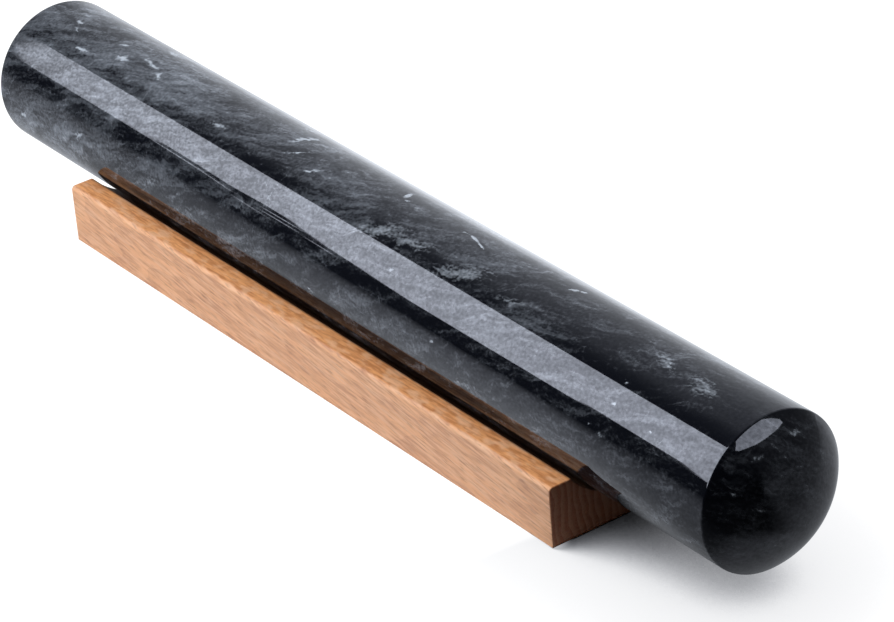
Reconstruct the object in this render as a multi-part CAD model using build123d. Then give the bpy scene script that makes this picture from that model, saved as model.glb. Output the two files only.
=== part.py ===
# Marble rolling pin lying in a grooved beech cradle.
# Millimetres. +X runs along the pin, +Z is up, and the origin lies on the table under the pin's middle.
import os
from math import asin, degrees, sqrt

from build123d import *

# Driving sizes of the rolling pin
pin_diameter = 51.0
pin_length = 400.0
dome_rise = 12.0
crease_radius = 1.2

# Driving sizes of the cradle
cradle_length = 262.0
groove_depth = 11.0
floor_thickness = 10.0
rim_width = 8.3
arris_radius = 1.5
lip_radius = 0.8
sole_radius = 0.8
end_radius = 0.5

# How the pin lies in the cradle: a wider groove, a running gap under it, and more of it past the near end
groove_ease = 3.5
seat_clearance = 0.3
pin_lead = 6.0

# What follows from the driving sizes
pin_radius = pin_diameter / 2
groove_radius = pin_radius + groove_ease
groove_half_width = sqrt(groove_radius**2 - (groove_radius - groove_depth) ** 2)
cradle_width = 2 * (groove_half_width + rim_width)
cradle_height = floor_thickness + groove_depth
groove_axis_height = floor_thickness + groove_radius
pin_axis_height = floor_thickness + seat_clearance + pin_radius


def make_rolling_pin():
    """Turned bar of solid marble: a plain barrel with a shallow dome ground on each end."""
    tip = pin_length / 2
    shoulder = tip - dome_rise
    dome_radius = (pin_radius**2 + dome_rise**2) / (2 * dome_rise)
    dome_centre = (tip - dome_radius, 0)
    dome_angle = degrees(asin(pin_radius / dome_radius))

    # Half of the long section, above the axis
    near_dome = CenterArc(dome_centre, dome_radius, 0, dome_angle)
    barrel = Line((shoulder, pin_radius), (-shoulder, pin_radius))
    far_dome = mirror(near_dome, about=Plane.YZ)
    axis_line = Line((-tip, 0), (tip, 0))
    half_section = make_face([near_dome, barrel, far_dome, axis_line])

    # The crease where each dome meets the barrel is only just rounded
    creases = half_section.vertices().sort_by(Axis.Y)[-2:]
    half_section = fillet(creases, crease_radius)
    return Pos(Z=pin_axis_height) * revolve(half_section, axis=Axis.X)


def rim_corners(section):
    """Corners of the cradle's section above the groove's floor, the ones nearest its middle first."""
    above = section.vertices().filter_by(lambda corner: corner.Y > floor_thickness)
    return above.sort_by(lambda corner: abs(corner.X))


def make_cradle():
    """Beech block with one round groove milled along its top, and every arris softened."""
    block = Pos(Y=cradle_height / 2) * Rectangle(cradle_width, cradle_height)
    section = block - Pos(Y=groove_axis_height) * Circle(groove_radius)

    # The groove's two lips, the two outer arrises and the two edges that meet the table
    section = fillet(rim_corners(section)[:2], lip_radius)
    section = fillet(rim_corners(section)[-2:], arris_radius)
    section = fillet(section.vertices().sort_by(Axis.Y)[:2], sole_radius)

    # The section stands across the pin, and the block runs along it
    bar = extrude(Plane.YZ * section, amount=cradle_length / 2, both=True)
    ends = bar.faces().filter_by(Axis.X)
    bar = fillet(ends.edges(), end_radius)
    return Pos(X=-pin_lead) * bar


os.makedirs("parts", exist_ok=True)
export_step(make_rolling_pin(), "parts/rolling_pin.step")
export_step(make_cradle(), "parts/cradle.step")
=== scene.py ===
"""A polished marble rolling pin lying in a grooved beech cradle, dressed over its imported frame.

The pin and the cradle are modelled in metres where the frame has them. +X runs along the pin, +Z is up,
and the origin lies on the table under the pin's middle.
"""

import logging
from collections.abc import Callable, Sequence
from dataclasses import dataclass, field
from enum import Enum
from math import acos, atan2, cos, pi, radians, sin, sqrt, tan
from typing import Any

import bmesh
import bpy
from mathutils import Matrix, Vector

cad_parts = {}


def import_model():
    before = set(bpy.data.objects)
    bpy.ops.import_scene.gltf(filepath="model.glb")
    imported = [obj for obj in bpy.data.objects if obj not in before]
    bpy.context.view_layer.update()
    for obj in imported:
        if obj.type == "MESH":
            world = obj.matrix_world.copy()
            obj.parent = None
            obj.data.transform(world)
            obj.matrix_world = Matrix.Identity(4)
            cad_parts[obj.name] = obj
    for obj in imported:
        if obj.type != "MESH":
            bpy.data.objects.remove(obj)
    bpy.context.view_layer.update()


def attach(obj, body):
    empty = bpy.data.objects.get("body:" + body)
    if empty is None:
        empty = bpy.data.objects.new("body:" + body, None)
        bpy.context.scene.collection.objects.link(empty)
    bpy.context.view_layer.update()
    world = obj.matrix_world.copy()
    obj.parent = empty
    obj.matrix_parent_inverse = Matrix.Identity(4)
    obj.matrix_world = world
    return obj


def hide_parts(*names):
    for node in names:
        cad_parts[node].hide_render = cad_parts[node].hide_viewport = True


LOG = logging.getLogger("rolling_pin")

MM = 0.001
WHITE = (1.0, 1.0, 1.0, 1.0)
COOL = (0.92, 0.965, 1.04, 1.0)

# Corners this near to a place are taken to lie there, and corners this near to each other are joined
SAME_PLACE = 0.01 * MM
DOUBLE = 0.0001 * MM

# A mark fades out at this share of its length and width from its middle, and at this depth in mm
MARK_SHARE = 0.75
MARK_DEPTH = 5.0

Colour = tuple[float, float, float, float]


def linear(code: str) -> Colour:
    """Turns an sRGB colour into the linear one that a shader wants.

    Args:
        code: the colour as six hex digits.

    Returns:
        Red, green, blue and an alpha of 1.
    """
    channels = (int(code[i:i + 2], 16) / 255 for i in (0, 2, 4))
    red, green, blue = (c / 12.92 if c <= 0.04045 else ((c + 0.055) / 1.055) ** 2.4 for c in channels)
    return red, green, blue, 1.0


def add_node(
    tree: bpy.types.NodeTree,
    kind: str,
    *values: Any,
    named: dict[int | str, Any] | None = None,
    stops: Sequence[tuple[float, float]] = (),
    output: int | str = 0,
    **settings: Any,
) -> bpy.types.NodeSocket | None:
    """Adds a shader node with its settings and links.

    Args:
        tree: the node tree that gets the node.
        kind: the node's type without its prefix, such as "Math".
        values: a value to set or a socket to link for each input in turn, from the first.
        named: the same for other inputs, by their name or number.
        stops: a ramp's places and the grey at each.
        output: the name or number of the output that is wanted.
        settings: the node's own properties.

    Returns:
        That output, or nothing where the node has none.
    """
    node = tree.nodes.new("ShaderNode" + kind)
    for name, value in settings.items():
        setattr(node, name, value)
    for number, (where, grey) in enumerate(stops):
        ramp = node.color_ramp.elements
        stop = ramp[number] if number < 2 else ramp.new(where)
        stop.position = where
        stop.color = (grey, grey, grey, 1.0)
    for key, value in {**dict(enumerate(values)), **(named or {})}.items():
        if isinstance(value, bpy.types.NodeSocket):
            tree.links.new(value, node.inputs[key])
        else:
            node.inputs[key].default_value = value
    return node.outputs[output] if node.outputs else None


def new_material(name: str) -> tuple[bpy.types.Material, bpy.types.NodeTree]:
    """Makes an empty node material.

    Args:
        name: the finish's common name.

    Returns:
        The material and its cleared node tree.
    """
    material = bpy.data.materials.new(name)
    material.use_nodes = True
    material.node_tree.nodes.clear()
    return material, material.node_tree


def pick(obj: bpy.types.Object, kind: str, test: Callable[[Vector], bool]) -> None:
    """Selects the parts of the mesh in edit mode whose every corner passes a test, and nothing else.

    Args:
        obj: the object in edit mode.
        kind: "verts", "edges" or "faces".
        test: says for a corner's place whether it belongs.
    """
    bpy.ops.mesh.select_all(action="DESELECT")
    bpy.ops.mesh.select_mode(type={"verts": "VERT", "edges": "EDGE", "faces": "FACE"}[kind])
    mesh = bmesh.from_edit_mesh(obj.data)
    for part in getattr(mesh, kind):
        if all(test(c) for c in ([part.co] if kind == "verts" else [v.co for v in part.verts])):
            part.select_set(True)
    mesh.select_flush_mode()
    bmesh.update_edit_mesh(obj.data)


def finish_mesh(obj: bpy.types.Object, angle: float) -> None:
    """Merges doubles, turns the faces outwards and leaves flat faces flat between rounded edges.

    Args:
        obj: the object, in edit mode.
        angle: the angle in degrees up to which an edge is smooth.
    """
    bpy.ops.mesh.select_all(action="SELECT")
    bpy.ops.mesh.remove_doubles(threshold=DOUBLE)
    bpy.ops.mesh.normals_make_consistent(inside=False)
    bpy.ops.object.mode_set(mode="OBJECT")
    bpy.ops.object.shade_smooth_by_angle(angle=radians(angle))
    bpy.ops.object.modifier_add(type="WEIGHTED_NORMAL")
    obj.modifiers[-1].keep_sharp = True
    bpy.ops.object.modifier_apply(modifier=obj.modifiers[-1].name)


class Side(Enum):
    """The two ends of the pin."""

    NEAR = 1
    FAR = -1


@dataclass(frozen=True)
class Mark:
    """One mark in the stone, placed on the barrel's skin.

    Attributes:
        along: its place along the pin in mm.
        angle: its place round the pin in degrees, 90 on top and 180 in front.
        length: its length in mm.
        width: its width in mm.
        slant: the angle in degrees that it climbs from the pin's length towards the back.
        strength: how much of the mark's colour shows.
    """

    along: float
    angle: float
    length: float
    width: float
    slant: float
    strength: float

    def frame(self, pin: "RollingPin") -> Matrix:
        """Finds the mark's own axes: along it, across it and out of the stone.

        Args:
            pin: the pin that it lies on.

        Returns:
            A matrix that takes the mark's axes to the stone.
        """
        turn = radians(self.angle)
        out = Vector((0, cos(turn), sin(turn)))
        climb = Vector((0, sin(turn), -cos(turn)))
        lengthwise = Vector((1, 0, 0)) * cos(radians(self.slant)) + climb * sin(radians(self.slant))
        axes = Matrix((lengthwise, out.cross(lengthwise), out)).transposed().to_4x4()
        axes.translation = Vector((self.along, 0, pin.axis_height)) * MM + out * (pin.diameter / 2 * MM)
        return axes

    def reach(self) -> tuple[float, float, float]:
        """Gives how far in metres the mark shows along, across and into the stone from its middle."""
        return self.length * MARK_SHARE * MM, self.width * MARK_SHARE * MM, MARK_DEPTH * MM


@dataclass(frozen=True)
class EndMark(Mark):
    """One mark on the near dome: along is its distance from the axis, and slant turns it from +Y to +Z."""

    def frame(self, pin: "RollingPin") -> Matrix:
        """Finds the mark's own axes: along it, across it and out of the end.

        Args:
            pin: the pin that it lies on.

        Returns:
            A matrix that takes the mark's axes to the stone.
        """
        turn, lean = radians(self.angle), radians(self.slant)
        dome = pin.dome_radius()
        sunk = dome - sqrt(dome**2 - self.along**2)
        lengthwise = Vector((0, cos(lean), sin(lean)))
        out = Vector((1, 0, 0))
        axes = Matrix((lengthwise, out.cross(lengthwise), out)).transposed().to_4x4()
        axes.translation = MM * Vector(
            (pin.length / 2 - sunk, self.along * cos(turn), pin.axis_height + self.along * sin(turn))
        )
        return axes


@dataclass(frozen=True)
class BlackMarble:
    """Polished black marble, ground and buffed: grey clouds and white flecks under a wet gloss.

    The clouds lie in slanting beds and thin out towards the near end, which gives the eye a stone with
    depth and a direction. The gloss shows the studio as on black glass.

    Attributes:
        black: the stone's ground.
        cloud: the grey of its clouds.
        pale: the white of its flecks and patches.
        bed: the direction across the beds, in which they are thinnest.
        clouds: where the grey gathers.
        seams_and_shade: where the ground is blacker. The last is a painted shade along the whole pin, low on
        the front where the rim is mirrored.
        shaded_gloss: where the mirror is turned down low on the front, a painted shade on its reflection.
        Nothing shows wear on the real stone there: it is the photograph that is dark.
            there: it is the photograph that is dark.
        patches: pale grains in loose patches.
        flecks: white crystals, and those on the near dome.
        hairlines: white lines too fine for the flecks' ragged edge, which would break them up. They are
            drawn about twice as wide as the real ones, so that they show.
    """

    black: str = "0a0c12"
    cloud: str = "7f8691"
    pale: str = "b1bbc8"
    bed: tuple[float, float, float] = (0.29, -0.68, -0.68)
    clouds: tuple[Mark, ...] = (
        Mark(-102, 88, 30, 14, 15, 0.8),
        Mark(-104, 70, 14, 8, 10, 0.6),
        Mark(-154, 72, 12, 6, 10, 0.6),
        Mark(-170, 76, 12, 6, -10, 0.6),
        Mark(-104, 110, 14, 7, 10, 0.5),
        Mark(-18, 75, 14, 8, 10, 0.4),
        Mark(-150, 88, 26, 9, 0, 0.3),
        Mark(12, 137, 24, 8, 28, 0.6),
        Mark(-118, 143, 8, 5, 10, 0.7),
        Mark(85, 141, 10, 5, 20, 0.4),
        Mark(-92, 175, 14, 5, 25, 0.6),
        Mark(-60, 154, 22, 5, 18, 0.5),
        Mark(140, 107, 26, 5, 2, 0.25),
        Mark(70, 88, 30, 10, 20, 0.25),
        Mark(79, 184, 12, 8, 20, 0.4),
        Mark(30, 172, 40, 10, 15, 0.2),
        Mark(-49, 96, 14, 6, 10, 0.3),
        Mark(170, 163, 12, 4, 20, 0.15),
        Mark(-30, 154, 60, 5, 0, 0.15),
    )
    seams_and_shade: tuple[Mark, ...] = (
        Mark(-62, 121, 110, 6, 0, 0.95),
        Mark(-112, 121, 70, 5, 0, 0.85),
        Mark(10, 106, 120, 22, 5, 0.25),
        Mark(-125, 154, 120, 8, 0, 0.95),
        Mark(-172, 154, 50, 8, 0, 0.9),
        Mark(-140, 163, 80, 7, 0, 0.7),
        Mark(-60, 166, 60, 8, 0, 0.3),
        Mark(100, 106, 60, 12, 0, 0.4),
        Mark(155, 114, 60, 12, 0, 0.8),
        Mark(-15, 108, 22, 10, 10, 0.6),
        # Painted shade: a dark band along the whole pin, low on the front where the rim is mirrored
        Mark(-6, 199, 200, 9, 0, 1.3),
    )
    # Painted shade on the gloss: a band low on the front where the mirror is turned down
    shaded_gloss: tuple[Mark, ...] = (Mark(-6, 197, 200, 6.6, 0, 3.0),)
    patches: tuple[Mark, ...] = (
        Mark(21, 117, 18, 5, 24, 0.9),
        Mark(36, 114, 15, 3.5, 10, 0.8),
        Mark(31, 120, 4, 3, 0, 0.8),
        Mark(60, 115, 20, 5.5, 24, 0.85),
        Mark(84, 114, 13, 2.0, 12, 0.35),
        Mark(146, 94, 10, 4, -20, 0.75),
        Mark(164, 97, 11, 6, -10, 0.7),
        Mark(-92, 175, 8, 2.4, 28, 0.5),
        Mark(79, 184, 10, 3, 10, 0.6),
        Mark(-32, 137, 11, 0.6, -35, 0.6),
        Mark(-31, 136, 14, 0.6, 85, 0.6),
        Mark(-42, 152, 12, 0.6, 80, 0.35),
    )
    flecks: tuple[Mark, ...] = (
        Mark(-136, 103, 6, 3, 10, 1.0),
        Mark(-124, 94, 12, 2, -12, 0.9),
        Mark(-115, 101, 5, 2.4, -40, 0.9),
        Mark(-143, 91, 5, 2, 20, 0.7),
        Mark(-129, 66, 7, 3, -20, 0.9),
        Mark(-169, 94, 6, 1.6, -15, 0.8),
        Mark(-155, 114, 6, 1.6, 5, 0.8),
        Mark(-165, 102, 6, 1.5, -20, 0.6),
        Mark(-73, 111, 10, 2.2, 8, 0.9),
        Mark(-42, 81, 11, 2.4, 68, 1.0),
        Mark(-50, 65, 6, 3, 20, 0.8),
        Mark(-36, 97, 10, 1.3, 40, 1.0),
        Mark(-23, 104, 10, 1.3, 35, 0.8),
        Mark(148, 95, 6, 2.2, -35, 0.8),
        Mark(142, 122, 4, 1.4, -10, 0.7),
        Mark(165, 127, 4, 1.4, 5, 0.5),
        Mark(143, 138, 2.2, 1.2, 20, 1.0),
        Mark(160, 142, 1.6, 1.0, 0, 1.0),
        Mark(35, 137, 2.4, 1.0, 30, 0.9),
        Mark(62, 167, 2.2, 1.2, 0, 1.0),
        Mark(136, 158, 3, 1.6, 30, 0.8),
        Mark(142, 161, 3, 1.6, 0, 0.8),
        Mark(-138, 176, 7, 2.2, 35, 0.8),
        Mark(-175, 188, 4, 2.0, 20, 0.8),
        Mark(-2, 185, 6, 2.0, 5, 0.8),
        EndMark(20.4, 75, 4.5, 1.4, -10, 1.0),
        EndMark(19.3, 99, 2.2, 1.2, -51, 0.6),
        EndMark(17.7, 97, 3.0, 1.2, -47, 0.7),
        EndMark(15.4, 92, 4.0, 1.2, -63, 0.7),
        EndMark(20.1, 119, 2.8, 1.2, 29, 0.7),
        EndMark(19.2, 114, 2.2, 1.2, 18, 0.7),
        EndMark(11.9, 103, 3.0, 1.3, 7, 0.7),
        EndMark(12.1, 77, 4.0, 0.9, -17, 0.6),
        EndMark(6.8, 53, 7.0, 0.9, -34, 0.5),
        EndMark(20.1, 152, 1.8, 1.5, 48, 1.0),
        EndMark(19.0, 149, 3.0, 0.9, -66, 0.6),
        EndMark(12.4, 164, 7.0, 1.4, -22, 0.9),
        EndMark(20.1, 175, 4.0, 1.0, -24, 0.5),
        EndMark(12.5, -122, 6.5, 1.4, -29, 0.5),
        EndMark(18.9, -129, 6.0, 1.6, -43, 0.5),
        EndMark(24.5, 137, 3.0, 1.4, 4, 0.6),
        EndMark(18.2, 46, 5.0, 1.4, -76, 0.6),
        EndMark(16.6, 39, 6.0, 1.4, -72, 0.6),
        EndMark(23.1, 57, 3.0, 1.2, -30, 0.5),
        EndMark(22.8, 71, 3.0, 1.2, -79, 0.5),
    )
    hairlines: tuple[Mark, ...] = (
        Mark(11.6, 78.0, 5.5, 2.1, -67, 1.4),
        Mark(15.0, 84.5, 3.5, 1.2, 34, 0.9),
        Mark(44.5, 82.7, 6.0, 1.2, 7, 1.0),
        Mark(49.1, 83.7, 9.0, 1.1, -14, 1.2),
        Mark(53.7, 86.6, 8.0, 1.0, -18, 1.4),
        Mark(94.8, 77.1, 4.0, 1.7, 40, 1.5),
        Mark(97.1, 73.7, 3.4, 1.6, 32, 1.4),
    )

    def material(self, pin: "RollingPin") -> bpy.types.Material:
        """Builds the stone.

        Args:
            pin: the pin that is made of it, which says where the marks lie.

        Returns:
            The material, with its pattern on object coordinates.
        """
        material, tree = new_material("polished_black_marble")
        place = add_node(tree, "TexCoord", output="Object")

        def bent(size: float, reach: float, source: bpy.types.NodeSocket) -> bpy.types.NodeSocket:
            """Bends places by a noise, so that what is drawn on them wanders.

            Args:
                size: the size of the noise's cells in mm.
                reach: how far places move in mm.
                source: the places.

            Returns:
                The bent places.
            """
            noise = add_node(
                tree, "TexNoise", source, named={"Scale": 1 / (size * MM), "Detail": 3.0}, output="Color"
            )
            centred = add_node(tree, "VectorMath", noise, (-0.5,) * 3, operation="ADD")
            return add_node(
                tree, "VectorMath", centred, (reach * MM,) * 3, source, operation="MULTIPLY_ADD"
            )

        normal = Vector(self.bed).normalized()
        along = (Vector((1, 0, 0)) - normal * normal.x).normalized()
        lie = Matrix((along, normal.cross(along), normal)).transposed().to_euler()

        def bedded(
            source: bpy.types.NodeSocket, sizes: tuple[float, float, float], start: float, rough: float
        ) -> bpy.types.NodeSocket:
            """Gives a noise about 0 that lies in the beds.

            Args:
                source: the places that it is drawn on.
                sizes: its cells' sizes in mm along, across and through the beds.
                start: where it starts, so that no two patterns match.
                rough: how much of its finer detail shows.

            Returns:
                The noise.
            """
            lain = add_node(
                tree, "Mapping", source, (start, start, 0), lie, tuple(s * MM for s in sizes),
                vector_type="TEXTURE",
            )
            noise = add_node(
                tree, "TexNoise", lain, named={"Scale": 1.0, "Detail": 4.0, "Roughness": rough}
            )
            return add_node(tree, "Math", noise, 0.5, operation="SUBTRACT")

        def layered(*layers: tuple[Any, Any]) -> bpy.types.NodeSocket:
            """Lays patterns over each other.

            Args:
                layers: each pattern with its weight.

            Returns:
                Their weighted sum.
            """
            result: Any = 0.0
            for pattern, weight in layers:
                result = add_node(tree, "Math", pattern, weight, result, operation="MULTIPLY_ADD")
            return result

        def marked(placed: Sequence[Mark], warp: bpy.types.NodeSocket) -> bpy.types.NodeSocket:
            """Gives how much of these marks shows at each place.

            Args:
                placed: the marks.
                warp: the places that they are drawn on.

            Returns:
                Each mark's strength in its middle, falling to 0 at its edge.
            """
            shown: Any = 0.0
            for mark in placed:
                axes = mark.frame(pin)
                lain = add_node(
                    tree, "Mapping", warp, axes.translation, axes.to_euler(), mark.reach(),
                    vector_type="TEXTURE",
                )
                ball = add_node(tree, "TexGradient", lain, output="Fac", gradient_type="SPHERICAL")
                share = add_node(tree, "Math", ball, mark.strength, operation="MULTIPLY")
                shown = add_node(tree, "Math", shown, share, operation="MAXIMUM")
            return shown

        # The beds wander over 24 mm and are torn over 3 mm, so that no streak runs straight. Marks have
        # ragged edges, and hairlines only just frayed ones
        wandering = bent(24, 12, place)
        torn = bent(3, 2.2, wandering)
        ragged = bent(2, 1.8, place)
        frayed = bent(1.5, 0.5, place)

        # Grey from the far end thins out along the pin and down its front, and the near end is darkest
        split = add_node(tree, "SeparateXYZ", place)
        far = add_node(
            tree, "MapRange", split, -150 * MM, 60 * MM, 1.0, 0.0, interpolation_type="SMOOTHSTEP"
        )
        high = add_node(
            tree, "MapRange", split.node.outputs["Z"], pin.axis_height * MM, (pin.axis_height + 20) * MM,
            0.55, 1.0, interpolation_type="SMOOTHSTEP",
        )
        far = add_node(tree, "Math", far, high, operation="MULTIPLY")
        near = add_node(
            tree, "MapRange", split, 110 * MM, 190 * MM, 0.0, 1.0, interpolation_type="SMOOTHSTEP"
        )

        # The pattern changes over 8 mm from the barrel to the near dome
        crease = pin.length / 2 - pin.dome_rise
        domed = add_node(tree, "MapRange", split, (crease - 4) * MM, (crease + 4) * MM)

        # Broad clouds, streaks of about 20 mm and of about 7 mm, and single crystals of about 1 mm
        broad = bedded(wandering, (46, 34, 13), 0.0, 0.5)
        middle = bedded(torn, (20, 8, 2.8), 0.3, 0.54)
        small = bedded(torn, (7, 3.0, 1.1), 0.7, 0.55)
        crumb = bedded(place, (1.1, 1.1, 0.9), 0.2, 0.5)

        # Hairline veins part the stone into shards of about 9 mm, and show in some places only
        shard = add_node(
            tree, "TexVoronoi", torn, named={"Scale": 1 / (9 * MM)}, output="Distance",
            feature="DISTANCE_TO_EDGE",
        )
        vein = add_node(tree, "MapRange", shard, 0.0, 0.06, 1.0, 0.0)
        veined = add_node(
            tree, "MapRange", middle, -0.02, 0.08, 0.0, 1.0, interpolation_type="SMOOTHSTEP"
        )
        vein = add_node(tree, "Math", vein, veined, operation="MULTIPLY")

        # The grain stands out less where the front faces up, which matches the photograph. The cause isn't
        # known, and it may be the light
        front_up = (0, -0.64, 0.77)
        facing = add_node(tree, "VectorMath", place, front_up, output="Value", operation="DOT_PRODUCT")
        facing = add_node(tree, "Math", facing, -front_up[2] * pin.axis_height * MM, operation="ADD")
        contrast = add_node(
            tree, "MapRange", facing, pin.diameter * 0.17 * MM, pin.diameter * 0.42 * MM, 1.8, 0.95
        )
        calm = add_node(tree, "MapRange", domed, 0.0, 1.0, 1.0, 0.45)
        contrast = add_node(tree, "Math", contrast, calm, operation="MULTIPLY")
        mottle = layered((broad, 1.05), (middle, 1.05), (small, 0.8), (crumb, 0.7))

        # How far each place goes from the black ground to the grey of the clouds, with painted shade low on
        # the front
        flecks = marked(self.flecks, ragged)
        flecks = add_node(tree, "Math", flecks, marked(self.hairlines, frayed), operation="MAXIMUM")
        grey = layered(
            (1.0, 0.15), (far, 0.27), (near, -0.09), (domed, 0.05), (mottle, contrast), (vein, 0.14),
            (flecks, 0.25), (marked(self.clouds, wandering), 0.40), (marked(self.seams_and_shade, wandering), -0.30),
        )
        grey = add_node(tree, "MapRange", grey)
        grey = add_node(tree, "Math", grey, 1.7, operation="POWER")

        # Paler patches are mottled by the middle grain, and flecks by the small grain
        patches = marked(self.patches, ragged)
        pale = layered((patches, 1.0), (middle, 1.0), (small, 1.8), (crumb, 1.6))
        pale = add_node(tree, "MapRange", pale, 0.05, 1.35, 0.0, 0.56, interpolation_type="SMOOTHSTEP")
        patched = add_node(tree, "MapRange", patches, 0.0, 0.25)
        pale = add_node(tree, "Math", pale, patched, operation="MULTIPLY")
        white = layered(
            (flecks, 1.2), (small, 1.7), (crumb, 1.2), (middle, 0.8), (broad, 0.5), (far, 0.10),
            (near, -0.10), (domed, -0.03),
        )
        white = add_node(tree, "MapRange", white, 0.46, 1.15, 0.0, 0.85, interpolation_type="SMOOTHSTEP")
        pale = add_node(tree, "Math", pale, white, operation="MAXIMUM")

        body = add_node(
            tree, "Mix", grey, named={6: linear(self.black), 7: linear(self.cloud)}, output=2,
            data_type="RGBA",
        )
        tone = add_node(
            tree, "Mix", pale, named={6: body, 7: linear(self.pale)}, output=2, data_type="RGBA"
        )

        # Pale grains get the stronger mirror, a guess that mottles a bright reflection as photographed
        fine = add_node(tree, "MapRange", far, 0.0, 1.0, 0.8, 1.5)
        fine = add_node(tree, "Math", layered((small, 1.5), (crumb, 2.4)), fine, operation="MULTIPLY")
        polish = layered(
            (1.0, 0.45), (broad, 0.7), (middle, 1.1), (fine, 1.0), (vein, 0.3), (flecks, 0.4)
        )
        polish = add_node(tree, "MapRange", polish, 0.0, 1.0, 0.33, 0.64)
        # Painted shade on the gloss: the mirror drops to 7 % in the band low on the front
        gloss_shade = add_node(tree, "MapRange", marked(self.shaded_gloss, place), 0.0, 1.0, 1.0, 0.07)
        polish = add_node(tree, "Math", polish, gloss_shade, operation="MULTIPLY")

        # Long, shallow waves of a few cm, as buffing can leave, bend a straight reflection a little
        wave = add_node(tree, "TexNoise", place, named={"Scale": 1 / (30 * MM), "Detail": 0.0})
        skin = add_node(
            tree, "Bump", named={"Height": wave, "Strength": 1.0, "Distance": 0.03 * MM}, output="Normal"
        )
        shader = add_node(
            tree, "BsdfPrincipled",
            named={"Base Color": tone, "Roughness": 0.04, "IOR": 1.6, "Specular IOR Level": polish,
                   "Specular Tint": (0.88, 0.90, 1.0, 1.0), "Normal": skin},
        )
        add_node(tree, "OutputMaterial", shader)
        return material


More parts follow.
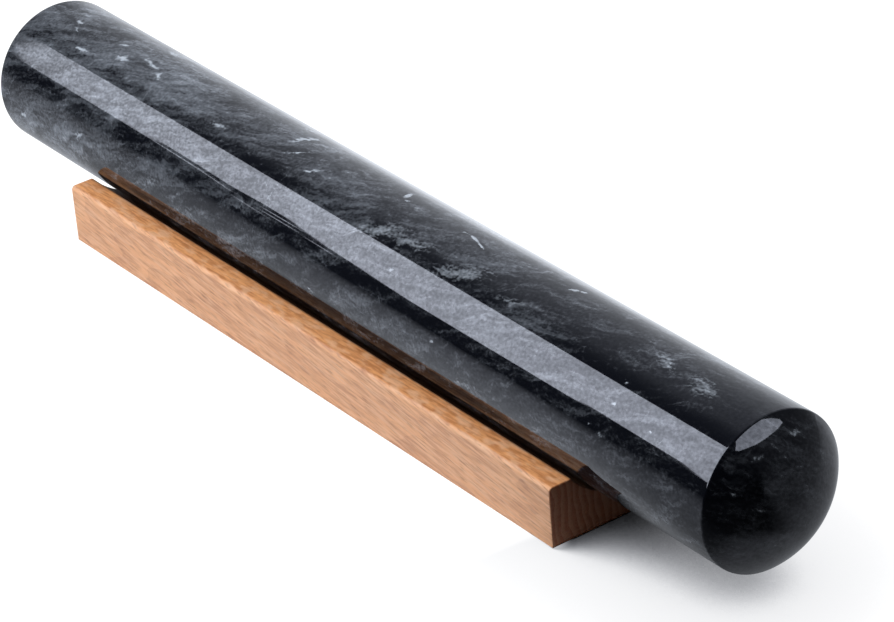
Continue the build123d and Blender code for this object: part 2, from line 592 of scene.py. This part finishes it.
@dataclass(frozen=True)
class OiledBeech:
    """Steamed beech, planed and oiled: pinkish tan with short dark pores, and darker where the grain ends.

    Its many short, dark pores and rays give the eye beech and no other pale wood. Real ones are 1 to 3 mm
    long and at most 0.3 mm high, too fine to show, so they are drawn in cells 7 mm long and 0.4 mm high.

    Attributes:
        light: the wood grown in spring.
        dark: the wood grown in late summer.
        pore: the pores.
        planed: the paler tone of the planed sides, partly the wood's own and partly a painted sheen.
        streak: the pale streaks along the grain.
        end_grain: the two sawn ends.
        end_ring: the paler rings on them.
        groove: the painted shade that the groove's wood is darkened with, standing in for the shade of the
            gap. It
        is far darker than bare beech, and it stays when the pin is lifted.
    """

    light: str = "eca96f"
    dark: str = "b9733f"
    pore: str = "7c4728"
    planed: str = "d9bca9"
    streak: str = "ecbf9c"
    end_grain: str = "a8563a"
    end_ring: str = "d09a78"
    groove: str = "2a180e"

    def material(self, cradle: "Cradle") -> bpy.types.Material:
        """Builds the wood.

        Args:
            cradle: the bar that is made of it, which says where the groove and the ends are.

        Returns:
            The material, with its grain along the object's X.
        """
        material, tree = new_material("oiled_beech")
        place = add_node(tree, "TexCoord", output="Object")

        def grain(
            sizes: tuple[float, float, float], turn: tuple[float, float], low: float, high: float
        ) -> bpy.types.NodeSocket:
            """Gives streaks that run with the grain.

            Args:
                sizes: their cells' sizes in mm along, across and up.
                turn: how far they are turned round X and round Y in degrees.
                low: the noise's value where a streak starts to show.
                high: the value where it shows fully.

            Returns:
                The streaks, from 0 to 1.
            """
            lain = add_node(
                tree, "Mapping", place, (0, 0, 0), (radians(turn[0]), radians(turn[1]), 0),
                tuple(s * MM for s in sizes), vector_type="TEXTURE",
            )
            noise = add_node(tree, "TexNoise", lain, named={"Scale": 1.0, "Detail": 3.0})
            return add_node(tree, "MapRange", noise, low, high, interpolation_type="SMOOTHSTEP")

        def blend(share: Any, one: Any, other: str, most: float) -> bpy.types.NodeSocket:
            """Blends a colour into another where the share is high, at most this far."""
            share = add_node(tree, "Math", share, most, operation="MULTIPLY")
            return add_node(
                tree, "Mix", share, named={6: one, 7: linear(other)}, output=2, data_type="RGBA"
            )

        # A year's growth runs from pale to dark, 2.5 mm across the planes of the rings
        year, across_rings = 2.5 * MM, (-0.031, 0.977, 0.21)
        wander = grain((150, 14, 26), (0, 8), 0.2, 0.8)
        years = add_node(
            tree, "VectorMath", place, tuple(n / year for n in across_rings), output="Value",
            operation="DOT_PRODUCT",
        )
        years = add_node(tree, "Math", wander, 2.2, years, operation="MULTIPLY_ADD")
        years = add_node(tree, "Math", years, operation="FRACT")
        late = add_node(tree, "MapRange", years, 0.25, 0.97, 0.0, 1.0)
        fibre = grain((9, 0.9, 0.8), (0, 7), 0.40, 0.60)
        soft = grain((34, 10, 5), (0, 5), 0.36, 0.64)
        shade = add_node(tree, "Math", late, -0.32, 0.32, operation="MULTIPLY_ADD")
        shade = add_node(tree, "Math", fibre, 0.54, shade, operation="MULTIPLY_ADD")
        shade = add_node(tree, "Math", soft, 0.15, shade, operation="MULTIPLY_ADD")

        # Planed sides are a little paler than the rims, partly by painted sheen. The ends are darker, and
        # the milled groove is darkened by painted shade
        split = add_node(tree, "SeparateXYZ", place, output="Y")
        aside = add_node(tree, "Math", split, operation="ABSOLUTE")
        half_width = cradle.half_width()
        planed = add_node(tree, "MapRange", aside, (half_width - 1.4) * MM, (half_width - 0.2) * MM)
        open_grain = add_node(tree, "MapRange", planed, 0.0, 1.0, 0.2, 1.0)
        pores = add_node(
            tree, "Math", grain((7, 1, 0.42), (0, 7), 0.55, 0.66), open_grain, operation="MULTIPLY"
        )
        middle = add_node(tree, "Math", split.node.outputs["X"], cradle.lead * MM, operation="ADD")
        middle = add_node(tree, "Math", middle, operation="ABSOLUTE")
        ended = add_node(
            tree, "MapRange", middle, (cradle.length / 2 - 0.3) * MM, (cradle.length / 2 - 0.05) * MM
        )
        round_axis = add_node(
            tree, "VectorMath", place, (0, 1, 1), (0, 0, -cradle.groove_axis() * MM),
            operation="MULTIPLY_ADD",
        )
        from_axis = add_node(tree, "VectorMath", round_axis, output="Value", operation="LENGTH")
        milled = add_node(
            tree, "MapRange", from_axis, cradle.groove_radius * MM, (cradle.groove_radius + 0.6) * MM,
            1.0, 0.0,
        )

        tone = add_node(
            tree, "Mix", shade, named={6: linear(self.dark), 7: linear(self.light)}, output=2,
            data_type="RGBA",
        )
        # Partly painted sheen: the planed sides are paled towards the planed colour
        tone = blend(planed, tone, self.planed, 0.30)
        tone = blend(grain((12, 3, 0.9), (0, 7), 0.46, 0.64), tone, self.streak, 0.50)
        tone = blend(pores, tone, self.pore, 0.42)
        early = add_node(tree, "MapRange", late, 0.0, 0.6, 1.0, 0.0)
        ringed = add_node(tree, "Math", ended, early, operation="MULTIPLY")
        tone = blend(ended, tone, self.end_grain, 0.75)
        tone = blend(ringed, tone, self.end_ring, 0.55)
        # Painted shade: the groove's wood is darkened for the shade of the gap beside the pin
        tone = blend(milled, tone, self.groove, 0.88)
        relief = add_node(tree, "Math", fibre, pores, operation="SUBTRACT")
        skin = add_node(
            tree, "Bump", named={"Height": relief, "Strength": 0.35, "Distance": 0.12 * MM}, output="Normal"
        )
        shader = add_node(
            tree, "BsdfPrincipled",
            named={"Base Color": tone, "Roughness": 0.5, "IOR": 1.5, "Normal": skin},
        )
        add_node(tree, "OutputMaterial", shader)
        return material


@dataclass
class RollingPin:
    """The solid marble pin: a barrel with shallow domes and a crisp, just softened crease round each.

    Attributes:
        diameter: the barrel's diameter in mm.
        length: the whole length over both domes in mm.
        dome_rise: how far a dome rises above its crease in mm.
        crease_radius: the rounding of the crease in mm.
        axis_height: the height of the pin's axis over the table in mm.
        staves: the number of faces round the barrel.
        crease_rings: the number of faces across the crease's rounding.
        dome_rings: the number of rings of faces on a dome.
        finish: the stone.
    """

    diameter: float = 51.0
    length: float = 400.0
    dome_rise: float = 12.0
    crease_radius: float = 1.2
    axis_height: float = 35.8
    staves: int = 256
    crease_rings: int = 8
    dome_rings: int = 28
    finish: BlackMarble = field(default_factory=BlackMarble)

    def dome_radius(self) -> float:
        """Gives the radius of the domes' sphere in mm."""
        return ((self.diameter / 2) ** 2 + self.dome_rise**2) / (2 * self.dome_rise)

    def profile(self) -> list[tuple[float, float]]:
        """Works out the rings of one end, from the barrel over the crease to the pole.

        Returns:
            Pairs of place along the pin and radius, in mm. The first is the barrel's end.
        """
        radius = self.diameter / 2
        dome = self.dome_radius()
        dome_centre = self.length / 2 - dome
        inner = radius - self.crease_radius
        crease_x = dome_centre + sqrt((dome - self.crease_radius) ** 2 - inner**2)
        meet = atan2(inner, crease_x - dome_centre)
        rings = []
        for step in range(self.crease_rings + 1):
            angle = pi / 2 + (meet - pi / 2) * step / self.crease_rings
            x = crease_x + self.crease_radius * cos(angle)
            rings.append((x, inner + self.crease_radius * sin(angle)))
        for step in range(1, self.dome_rings + 1):
            angle = meet * (1 - step / self.dome_rings)
            rings.append((dome_centre + dome * cos(angle), dome * sin(angle)))
        return rings

    def build(self) -> bpy.types.Object:
        """Models the pin from a cylinder whose ends are drawn out ring by ring.

        Returns:
            The finished pin, riding on its body.
        """
        rings = self.profile()
        height = self.axis_height * MM
        bpy.ops.object.select_all(action="DESELECT")
        bpy.ops.mesh.primitive_cylinder_add(
            vertices=self.staves, radius=self.diameter / 2 * MM, depth=2 * rings[0][0] * MM,
            end_fill_type="NGON", location=(0, 0, height), rotation=(0, pi / 2, 0),
        )
        pin = bpy.context.active_object
        pin.name = "marble_pin"
        bpy.ops.object.transform_apply(location=True, rotation=True, scale=True)
        bpy.ops.object.mode_set(mode="EDIT")
        for side in Side:
            pick(pin, "faces", lambda c: abs(c.x - side.value * rings[0][0] * MM) < SAME_PLACE)
            for (x, r), (next_x, next_r) in zip(rings, rings[1:]):
                bpy.ops.mesh.extrude_region_move(
                    TRANSFORM_OT_translate={"value": (side.value * (next_x - x) * MM, 0, 0)}
                )
                squeeze = max(next_r, 0.0) / r
                bpy.ops.transform.resize(value=(1, squeeze, squeeze), center_override=(0, 0, height))
            bpy.ops.mesh.merge(type="CENTER")
        finish_mesh(pin, angle=30)
        pin.data.materials.append(self.finish.material(self))
        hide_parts("rolling_pin")
        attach(pin, "pin")
        return pin


@dataclass
class Cradle:
    """The beech bar that carries the pin in a milled round groove.

    Attributes:
        length: the bar's length in mm.
        height: its height at the rims in mm.
        groove_radius: the radius of the cutter that made the groove in mm.
        groove_depth: the groove's depth under the rims in mm.
        rim_width: the flat beside the groove in mm.
        arris_radius: the rounding of the outer top edges in mm.
        lip_radius: the rounding of the groove's edges in mm.
        sole_radius: the rounding of the lower edges in mm.
        end_radius: the rounding of both ends in mm.
        lead: how far the pin's middle lies past the bar's middle in mm.
        cutter_sides: the number of straight runs in the cutter's circle.
        finish: the wood.
    """

    length: float = 262.0
    height: float = 21.0
    groove_radius: float = 29.0
    groove_depth: float = 11.0
    rim_width: float = 8.3
    arris_radius: float = 1.5
    lip_radius: float = 0.8
    sole_radius: float = 0.8
    end_radius: float = 0.5
    lead: float = 6.0
    cutter_sides: int = 180
    finish: OiledBeech = field(default_factory=OiledBeech)

    def groove_axis(self) -> float:
        """Gives the height of the cutter's axis in mm."""
        return self.height - self.groove_depth + self.groove_radius

    def half_width(self) -> float:
        """Gives half the bar's width in mm."""
        drop = self.groove_radius - self.groove_depth
        return sqrt(self.groove_radius**2 - drop**2) + self.rim_width

    def build(self) -> bpy.types.Object:
        """Models the bar: the groove's arc first, its section drawn out of that, then the length.

        Returns:
            The finished cradle, riding on its body.
        """
        top = self.height * MM
        axis = self.groove_axis() * MM
        far = (-self.lead - self.length / 2) * MM
        near = far + self.length * MM
        half_angle = acos((self.groove_radius - self.groove_depth) / self.groove_radius)
        side = self.half_width() * MM
        half_groove = side - self.rim_width * MM
        bpy.ops.object.select_all(action="DESELECT")
        bpy.ops.mesh.primitive_circle_add(
            vertices=self.cutter_sides, radius=self.groove_radius * MM, fill_type="NGON",
            location=(far, 0, axis), rotation=(0, pi / 2, 0),
        )
        bar = bpy.context.active_object
        bar.name = "beech_cradle"
        bpy.ops.object.transform_apply(location=True, rotation=True, scale=True)
        bpy.ops.object.mode_set(mode="EDIT")
        bpy.ops.mesh.select_all(action="SELECT")
        bpy.ops.mesh.bisect(plane_co=(far, 0, top), plane_no=(0, 0, 1), clear_outer=True)
        bpy.ops.mesh.select_all(action="SELECT")
        bpy.ops.mesh.delete(type="ONLY_FACE")
        pick(bar, "edges", lambda c: c.z > top - SAME_PLACE)
        bpy.ops.mesh.delete(type="EDGE")
        for way in (1, -1):
            lip = Vector((far, way * half_groove, top))
            pick(bar, "verts", lambda c: (c - lip).length < SAME_PLACE)
            bpy.ops.mesh.extrude_region_move(
                TRANSFORM_OT_translate={"value": (0, way * self.rim_width * MM, 0)}
            )
            bpy.ops.mesh.extrude_region_move(TRANSFORM_OT_translate={"value": (0, 0, -top)})
        pick(bar, "verts", lambda c: c.z < SAME_PLACE)
        bpy.ops.mesh.edge_face_add()
        bpy.ops.mesh.select_all(action="SELECT")
        bpy.ops.mesh.edge_face_add()
        bpy.ops.mesh.extrude_region_move(TRANSFORM_OT_translate={"value": (near - far, 0, 0)})

        def soften(
            radius: float, test: Callable[[Vector], bool], steps: int, edge_angle: float = pi / 2
        ) -> None:
            """Rounds edges.

            Args:
                radius: the rounding in mm.
                test: says for a corner's place whether it lies on one of them.
                steps: the number of faces across the rounding.
                edge_angle: the angle in radians at which the two faces meet.
            """
            pick(bar, "edges", test)
            bpy.ops.mesh.bevel(
                offset=radius * MM / tan(edge_angle / 2), segments=steps, profile=0.5, affect="EDGES",
                offset_type="OFFSET",
            )

        def close(a: float, b: float) -> bool:
            """Says whether two lengths in metres are the same."""
            return abs(a - b) < SAME_PLACE

        soften(self.arris_radius, lambda c: close(c.z, top) and close(abs(c.y), side), steps=6)
        soften(self.sole_radius, lambda c: close(c.z, 0) and close(abs(c.y), side), steps=4)
        soften(
            self.lip_radius, lambda c: close(c.z, top) and close(abs(c.y), half_groove), steps=4,
            edge_angle=pi - half_angle,
        )
        for end in (far, near):
            soften(self.end_radius, lambda c: close(c.x, end), steps=3)
        finish_mesh(bar, angle=35)
        bar.data.materials.append(self.finish.material(self))
        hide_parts("cradle")
        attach(bar, "cradle")
        return bar


@dataclass(frozen=True)
class Softbox:
    """A flat light of any outline.

    Attributes:
        name: its name.
        corners: for each corner in turn, its place along X and its distance from the pin's axis in metres,
            and its angle in degrees, 90 above the pin and 180 in front.
        glow: its brightness in a mirror, with white paper as 1.
        cast: its brightness as a light on dull surfaces.
        far_dim: the share of its brightness that is left at its far end.
        dimming: where along X in metres it starts to brighten, and where it is at its full brightness.
    """

    name: str
    corners: tuple[tuple[float, float, float], ...]
    glow: float
    cast: float = 0.0
    far_dim: float = 1.0
    dimming: tuple[float, float] = (-1.63, -1.03)

    def build(self, axis_height: float) -> bpy.types.Object:
        """Hangs the softbox.

        Args:
            axis_height: the height of the pin's axis in metres.

        Returns:
            The softbox, out of the camera's sight.
        """
        bpy.ops.object.select_all(action="DESELECT")
        bpy.ops.mesh.primitive_circle_add(vertices=len(self.corners), radius=1.0, fill_type="NGON")
        box = bpy.context.active_object
        box.name = self.name
        for vertex, (x, distance, angle) in zip(box.data.vertices, self.corners):
            turn = radians(angle)
            vertex.co = (x, distance * cos(turn), axis_height + distance * sin(turn))

        # Dull surfaces see it white, and the gloss sees it brighter and a little cool
        material, tree = new_material(self.name + "_cloth")
        glossy = add_node(tree, "LightPath", output="Is Glossy Ray")
        strength = add_node(tree, "MapRange", glossy, 0.0, 1.0, self.cast, self.glow)
        tint = add_node(tree, "Mix", glossy, named={6: WHITE, 7: COOL}, output=2, data_type="RGBA")
        place = add_node(tree, "SeparateXYZ", add_node(tree, "TexCoord", output="Object"))
        dim = add_node(tree, "MapRange", place, *self.dimming, self.far_dim, 1.0)
        strength = add_node(tree, "Math", strength, dim, operation="MULTIPLY")
        add_node(tree, "OutputMaterial", add_node(tree, "Emission", tint, strength))
        box.data.materials.append(material)
        box.visible_camera = False
        box.visible_shadow = False
        return box


@dataclass
class Studio:
    """The white table, the pale surround and the soft lights.

    Attributes:
        axis_height: the height of the pin's axis in metres.
        table_ends: where the table ends along X in metres.
        table_sides: where it ends in front and behind in metres.
        top_light: the brightness that the ceiling casts on dull surfaces.
        softboxes: the strip along the front, the bright slats under it and the small one past the near end.
    """

    axis_height: float
    table_ends: tuple[float, float] = (-2.4, 0.6)
    table_sides: tuple[float, float] = (-0.44, 2.4)
    top_light: float = 3.0
    softboxes: tuple[Softbox, ...] = (
        Softbox(
            "strip_softbox",
            ((0.0, 0.679, 115.7), (-1.610, 1.120, 115.7), (-1.595, 1.101, 117.9), (-1.540, 1.052, 124.7),
             (-1.510, 1.025, 132.7), (-1.537, 1.045, 145.8), (-1.592, 1.089, 152.6), (-1.629, 1.125, 156.6),
             (-1.350, 1.051, 157.0), (-1.281, 1.006, 152.6), (-1.233, 0.995, 153.0), (-1.178, 0.992, 155.2),
             (-1.106, 0.962, 153.2), (-1.055, 0.949, 153.4), (-1.049, 0.985, 159.4), (-1.023, 0.998, 161.0),
             (-1.014, 1.033, 164.0), (-0.762, 0.961, 163.0), (-0.685, 0.894, 160.0), (-0.569, 0.861, 160.9),
             (-0.596, 0.915, 165.8), (-0.553, 0.913, 166.6), (0.0, 0.77, 168.8)),
            glow=4.9, cast=2.5, far_dim=0.47,
        ),
        Softbox(
            "slat_1",
            ((-1.335, 1.043, 156.4), (-1.274, 1.033, 157.4), (-1.250, 1.055, 161.0), (-1.265, 1.068, 162.0),
             (-1.287, 1.044, 158.4), (-1.345, 1.051, 157.2)),
            glow=4.6,
        ),
        Softbox(
            "slat_2",
            ((-1.308, 1.114, 165.4), (-1.283, 1.125, 167.1), (-1.304, 1.144, 168.1), (-1.328, 1.131, 166.5)),
            glow=2.5,
        ),
        Softbox(
            "slat_3",
            ((-1.208, 1.055, 162.4), (-1.139, 1.030, 161.8), (-1.157, 1.046, 163.0), (-1.224, 1.069, 163.4)),
            glow=3.6,
        ),
        Softbox(
            "slat_4",
            ((-1.151, 1.003, 158.0), (-1.079, 0.978, 157.2), (-1.090, 0.988, 158.2), (-1.163, 1.014, 159.0)),
            glow=4.6,
        ),
        Softbox(
            "slat_5",
            ((-1.131, 1.038, 163.0), (-1.100, 1.035, 163.6), (-1.119, 1.052, 164.8), (-1.146, 1.052, 164.0)),
            glow=3.6,
        ),
        Softbox(
            "end_softbox",
            ((0.839, 0.705, 111.7), (0.716, 0.727, 101.1), (0.632, 0.707, 83.3), (0.577, 0.734, 65.2),
             (0.564, 0.779, 52.3), (0.576, 0.825, 42.9), (0.614, 0.813, 40.1), (0.682, 0.704, 47.7),
             (0.767, 0.587, 65.9), (0.814, 0.560, 82.0), (0.840, 0.602, 99.0), (0.857, 0.657, 108.6)),
            glow=3.0, cast=0.55,
        ),
    )

    def table(self) -> bpy.types.Object:
        """Lays the table.

        Returns:
            The table.
        """
        bpy.ops.object.select_all(action="DESELECT")
        bpy.ops.mesh.primitive_plane_add(size=1.0)
        table = bpy.context.active_object
        table.name = "table"
        for vertex in table.data.vertices:
            vertex.co.x = self.table_ends[1 if vertex.co.x > 0 else 0]
            vertex.co.y = self.table_sides[1 if vertex.co.y > 0 else 0]
        material, tree = new_material("white_table")
        place = add_node(tree, "SeparateXYZ", add_node(tree, "TexCoord", output="Object"))

        def fade(
            source: bpy.types.NodeSocket, low: float, high: float, start: float, end: float, onto: Any = 1.0
        ) -> bpy.types.NodeSocket:
            """Fades smoothly between two values.

            Args:
                source: what the fade follows.
                low: the source's value where the fade starts.
                high: the source's value where it ends.
                start: its value up to low.
                end: its value from high on.
                onto: what it is multiplied with.

            Returns:
                The product.
            """
            share = add_node(
                tree, "MapRange", source, low, high, start, end, interpolation_type="SMOOTHSTEP"
            )
            return add_node(tree, "Math", share, onto, operation="MULTIPLY")

        # The object's shadow falls behind it and under its near end, and the floor elsewhere burns out.
        # The sky is looked for 30 degrees off straight up, away from the near end, and the stops turn how
        # much of it a place sees into a soft edge. They were fitted to the photograph's greys. In front of
        # the cradle and past its far end the shadow is switched off by place, wherever the pin is
        across = place.node.outputs["Y"]
        leaning = add_node(tree, "CombineXYZ", -0.5, 0.0, 0.87)
        open_sky = add_node(
            tree, "AmbientOcclusion", named={"Distance": 0.25, "Normal": leaning}, output="AO", samples=32
        )
        deep = add_node(
            tree, "ValToRGB", open_sky,
            stops=((0.13, 0.0), (0.90, 1.0), (0.21, 0.09), (0.263, 0.165), (0.30, 0.265), (0.337, 0.36),
                   (0.366, 0.465), (0.41, 0.585), (0.475, 0.75), (0.567, 0.79), (0.675, 0.82), (0.75, 0.85)),
        )
        clear = fade(place, 0.105, 0.145, 1.0, 0.0, fade(across, -0.031, -0.022, 1.0, 0.0))
        clear = add_node(tree, "Math", clear, fade(place, -0.142, -0.04, 1.0, 0.0), operation="MAXIMUM")
        shadow = add_node(tree, "Math", deep, clear, operation="MAXIMUM")

        # The camera sees the table as bright as the shadow lets it be, and a little blue in the shadow
        tinge = add_node(
            tree, "Mix", shadow, named={6: (0.88, 0.91, 1.0, 1.0), 7: (1.2, 1.2, 1.2, 1.0)}, output=2,
            data_type="RGBA",
        )
        seen = add_node(tree, "Emission", tinge, shadow)

        # In the pin's gloss the table is grey in front, bright behind and dark past the near end. The
        # slant runs along the pin, from where it mirrors each place of the table
        aside = add_node(tree, "Math", across, operation="ABSOLUTE")
        slant = add_node(tree, "Math", aside, 1.03, place, operation="MULTIPLY_ADD")
        front = fade(across, -0.40, -0.05, 0.15, 0.74, fade(place, 0.12, 0.24, 1.0, 0.05))
        front = fade(slant, 0.135, 0.20, 1.0, 0.5, fade(slant, -0.15, 0.12, 0.74, 1.25, front))
        behind = fade(slant, -0.24, 0.02, 0.82, 1.40, fade(slant, 0.05, 0.25, 1.0, 0.6))
        behind = fade(place, 0.10, 0.19, 1.0, 0.5, fade(place, 0.20, 0.30, 1.0, 0.5, behind))
        behind = fade(across, 0.06, 0.18, 0.85, 1.13, behind)
        level = add_node(
            tree, "Mix", fade(across, -0.01, 0.03, 0.0, 1.0), named={2: front, 3: behind}, data_type="FLOAT"
        )
        below = fade(aside, 0.012, 0.055, 0.43, 0.0, fade(place, 0.205, 0.24, 1.0, 0.0))
        below = fade(place, 0.15, 0.185, 0.0, 1.0, below)
        level = add_node(tree, "Math", level, below, operation="MAXIMUM")
        mirrored = add_node(
            tree, "Emission", COOL, add_node(tree, "Math", shadow, level, operation="MULTIPLY")
        )

        # Dull surfaces get the table's light back, and less of it past the near end
        white = add_node(
            tree, "Mix", fade(place, 0.10, 0.15, 0.0, 1.0),
            named={6: linear("e6e7e8"), 7: linear("3c3c3c")}, output=2, data_type="RGBA",
        )
        dull = add_node(
            tree, "MixShader", add_node(tree, "LightPath", output="Is Glossy Ray"),
            add_node(tree, "BsdfDiffuse", white), mirrored,
        )
        mixed = add_node(
            tree, "MixShader", add_node(tree, "LightPath", output="Is Camera Ray"), dull, seen
        )
        add_node(tree, "OutputMaterial", mixed)
        table.data.materials.append(material)
        return table

    def surround(self) -> None:
        """Sets the world: white to the camera, a pale wall behind the pin and a dark room in front."""
        world = bpy.data.worlds.new("studio")
        world.use_nodes = True
        bpy.context.scene.world = world
        tree = world.node_tree
        tree.nodes.clear()
        split = add_node(tree, "SeparateXYZ", add_node(tree, "TexCoord", output="Generated"))
        climb = add_node(
            tree, "Math", split.node.outputs["Z"], split.node.outputs["Y"], operation="ARCTAN2"
        )

        # 0.5 is the horizon behind, 0.75 straight up and 1 the horizon in front. In the gloss the room is
        # palest at the horizon behind, dark in front, and uneven along the pin
        part = add_node(tree, "MapRange", climb, -pi, pi)
        mirrored = add_node(
            tree, "ValToRGB", part,
            stops=((0.20, 0.02), (1.0, 0.02), (0.26, 0.9), (0.50, 1.0), (0.513, 0.89), (0.54, 0.75),
                   (0.60, 0.63), (0.65, 0.54), (0.70, 0.42), (0.735, 0.33), (0.765, 0.14), (0.79, 0.05),
                   (0.82, 0.02)),
        )
        lengthwise = add_node(
            tree, "ValToRGB", add_node(tree, "MapRange", split, -0.80, -0.62),
            stops=((0.0, 0.43), (1.0, 0.40), (0.156, 0.516), (0.278, 0.655), (0.416, 0.64), (0.57, 0.55),
                   (0.744, 0.49)),
        )
        mirrored = add_node(tree, "Math", mirrored, lengthwise, operation="MULTIPLY")

        # Most of the light that the room casts comes from the ceiling, and little from the wall behind
        cast = add_node(
            tree, "ValToRGB", part,
            stops=((0.20, 0.0), (0.93, 0.0), (0.26, 0.3), (0.50, 0.3), (0.66, 0.35), (0.74, 1.0),
                   (0.85, 0.9)),
        )
        glossy = add_node(tree, "LightPath", output="Is Glossy Ray")

        # Past the far end the room is brighter than past the near one, as a light and in a mirror
        cast_aside = add_node(
            tree, "MapRange", split, -0.25, 0.4, self.top_light, self.top_light * 0.03,
            interpolation_type="SMOOTHSTEP",
        )
        mirrored_aside = add_node(
            tree, "MapRange", split, -0.25, 0.15, 2.0, 0.5, interpolation_type="SMOOTHSTEP"
        )
        room = add_node(
            tree, "Mix", glossy,
            named={2: add_node(tree, "Math", cast, cast_aside, operation="MULTIPLY"),
                   3: add_node(tree, "Math", mirrored, mirrored_aside, operation="MULTIPLY")},
            data_type="FLOAT",
        )
        shown = add_node(
            tree, "Math", room, glossy.node.outputs["Is Camera Ray"], operation="MAXIMUM"
        )
        tint = add_node(tree, "Mix", glossy, named={6: WHITE, 7: COOL}, output=2, data_type="RGBA")
        add_node(tree, "OutputWorld", add_node(tree, "Background", tint, shown))

    def build(self) -> None:
        """Sets up the table, the surround and the lights."""
        self.table()
        self.surround()
        for softbox in self.softboxes:
            softbox.build(self.axis_height)


@dataclass(frozen=True)
class Camera:
    """The camera at the photograph's angle.

    Attributes:
        target: the point in metres that it looks at.
        distance: how far it stands from there in metres.
        azimuth: its angle in degrees from -Y towards +X.
        elevation: its angle over the horizon in degrees.
        roll: how far its right side is raised in degrees.
        lens: its focal length in mm on a 36 mm wide sensor.
    """

    target: tuple[float, float, float] = (0.03534, 0.0, 0.03126)
    distance: float = 1.2194
    azimuth: float = 55.42
    elevation: float = 29.53
    roll: float = -4.59
    lens: float = 158.69

    def build(self) -> bpy.types.Object:
        """Sets up the camera.

        Returns:
            The scene's camera.
        """
        around, up_angle, tilt = radians(self.azimuth), radians(self.elevation), radians(self.roll)
        back = Vector((sin(around) * cos(up_angle), -cos(around) * cos(up_angle), sin(up_angle)))
        level = Vector((cos(around), sin(around), 0))
        upright = back.cross(level)
        right = level * cos(tilt) + upright * sin(tilt)
        up = back.cross(right)
        data = bpy.data.cameras.new("camera")
        data.sensor_fit = "HORIZONTAL"
        data.sensor_width = 36.0
        data.lens = self.lens
        data.clip_start = 0.01
        camera = bpy.data.objects.new("camera", data)
        bpy.context.scene.collection.objects.link(camera)
        matrix = Matrix((right, up, back)).transposed().to_4x4()
        matrix.translation = Vector(self.target) + back * self.distance
        camera.matrix_world = matrix
        bpy.context.scene.camera = camera
        return camera


def main() -> None:
    """Loads the frame, builds the stage, the cradle and the pin in turn."""
    logging.basicConfig(level=logging.INFO, format="%(name)s: %(message)s")
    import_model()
    bpy.context.scene.view_settings.view_transform = "Standard"
    bpy.context.scene.cycles.caustics_reflective = False
    cradle, pin = Cradle(), RollingPin()
    Camera().build()
    Studio(pin.axis_height * MM).build()
    for part in (cradle, pin):
        piece = part.build()


if __name__ == "__main__":
    main()
